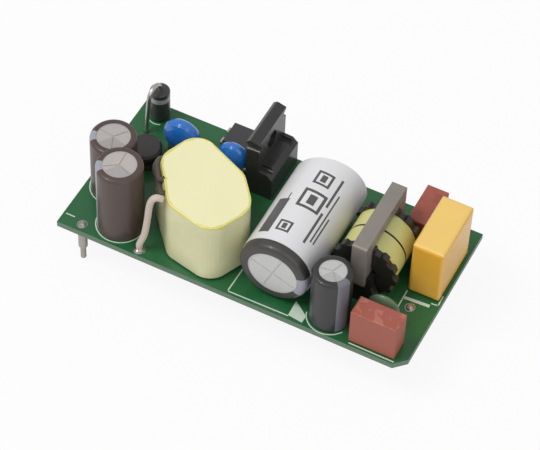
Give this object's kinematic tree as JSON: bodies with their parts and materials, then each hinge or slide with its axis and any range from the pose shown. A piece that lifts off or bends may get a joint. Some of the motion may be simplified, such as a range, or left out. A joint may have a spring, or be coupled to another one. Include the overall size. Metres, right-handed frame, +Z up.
{
  "type": "open frame power supply",
  "caption": "Open frame mains power supply: circuit board on stepped pins carrying capacitors, a taped transformer, a line choke, a transistor and fuses.",
  "frame": {"origin": "centre of the board's plan, at the level of the connection pins' tips", "axes": "+X along the board towards the mains input end, +Y to the board's back edge, +Z up from the pins through the board"},
  "size_m": [0.065, 0.032, 0.024],
  "materials": {
    "board": "green solder mask over glass laminate",
    "tin": "tinned",
    "solder": "smooth solder",
    "can": "satin",
    "brown_sleeve": "shrunk sleeve",
    "dark_sleeve": "shrunk sleeve",
    "label": "white film",
    "rubber": "moulded",
    "black_plastic": "moulded",
    "mould_compound": "satin moulded epoxy",
    "drum_ferrite": "ground ferrite",
    "ring_ferrite": "ground ferrite",
    "enamelled_wire": "enamelled copper wire",
    "blue_coating": "glossy epoxy coating",
    "green_coating": "satin epoxy coating",
    "cream_tape": "satin polyester tape",
    "yellow_tape": "satin polyester tape",
    "beige_tube": "flexible tube",
    "dark_tube": "flexible tube",
    "yellow_case": "satin moulded case",
    "red_case": "moulded case",
    "chip_ceramic": "sintered"
  },
  "bodies": {
    "root": {"circuit_board": "board", "negative_output_pin": "tin", "positive_output_pin": "tin", "neutral_input_pin": "tin", "line_input_pin": "tin", "front_output_cap_can": "can", "front_output_cap_sleeve": "brown_sleeve", "rear_output_cap_can": "can", "rear_output_cap_sleeve": "brown_sleeve", "bulk_cap_can": "can", "bulk_cap_sleeve": "dark_sleeve", "bulk_cap_label": "label", "bias_cap_can": "can", "bias_cap_sleeve": "dark_sleeve", "cap_seals": "rubber", "cap_leads": "tin", "output_diode_body": "mould_compound", "output_diode_leads": "tin", "output_choke_core": "drum_ferrite", "output_choke_winding": "enamelled_wire", "output_choke_sleeve": "dark_sleeve", "output_choke_leads": "tin", "safety_cap_body": "blue_coating", "snubber_cap_body": "blue_coating", "disc_cap_leads": "tin", "transformer_wrap": "cream_tape", "transformer_core_upper": "drum_ferrite", "transformer_core_lower": "drum_ferrite", "transformer_bobbin": "black_plastic", "transformer_winding": "enamelled_wire", "transformer_pins": "tin", "secondary_lead_sleeves": "beige_tube", "auxiliary_lead_sleeves": "dark_tube", "flying_lead_wires": "tin", "transistor_body": "mould_compound", "transistor_leads": "tin", "optocoupler_body": "mould_compound", "optocoupler_leads": "tin", "line_choke_core": "ring_ferrite", "line_choke_bobbin_upper": "black_plastic", "line_choke_bobbin_lower": "black_plastic", "line_choke_front_winding": "enamelled_wire", "line_choke_rear_winding": "enamelled_wire", "line_choke_front_tape": "yellow_tape", "line_choke_rear_tape": "yellow_tape", "line_choke_supports": "black_plastic", "line_choke_pins": "tin", "x_cap_case": "yellow_case", "x_cap_leads": "tin", "front_fuse_case": "red_case", "rear_fuse_case": "red_case", "fuse_leads": "tin", "thermistor_body": "green_coating", "thermistor_leads": "tin", "bridge_rectifier": "mould_compound", "controller_chip": "mould_compound", "chip_parts": "chip_ceramic", "solder_joints": "solder"}
  },
  "joints": []
}
